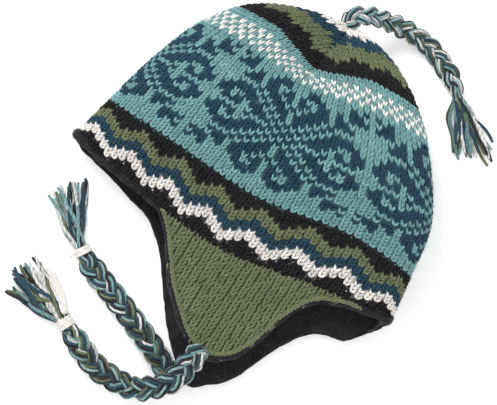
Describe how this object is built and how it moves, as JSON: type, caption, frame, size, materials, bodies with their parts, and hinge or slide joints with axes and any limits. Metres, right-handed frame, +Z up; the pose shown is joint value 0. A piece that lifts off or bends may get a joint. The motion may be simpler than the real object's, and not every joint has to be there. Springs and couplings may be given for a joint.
{
  "type": "chullo hat",
  "caption": "Soft fleece-lined knit cap lying on its side, with hanging ear flaps and braided tasselled cords, hollow and open at the mouth.",
  "frame": {"origin": "on the surface it lies on, under the middle of the cap, in the flat underside of the crown", "axes": "+Z up from the surface it lies on, +Y from the mouth towards the crown's apex, +X from the brow to the nape"},
  "size_m": [0.2452, 0.3141, 0.0775],
  "materials": {
    "patterned_knit": "stocking stitch wool in teal, navy, olive, black and white",
    "flap_knit": "plain olive stocking stitch wool",
    "fleece": "short matt fleece",
    "mixed_yarn": "plaited wool yarn in five colours",
    "white_yarn": "wound wool yarn"
  },
  "bodies": {
    "root": {"crown_knit": "patterned_knit", "near_ear_flap": "flap_knit", "far_ear_flap": "flap_knit", "fleece_lining": "fleece", "crown_braid": "mixed_yarn", "near_flap_braid": "mixed_yarn", "far_flap_braid": "mixed_yarn", "crown_tassel": "mixed_yarn", "near_flap_tassel": "mixed_yarn", "far_flap_tassel": "mixed_yarn", "near_flap_tie": "white_yarn", "far_flap_tie": "white_yarn"}
  },
  "joints": []
}
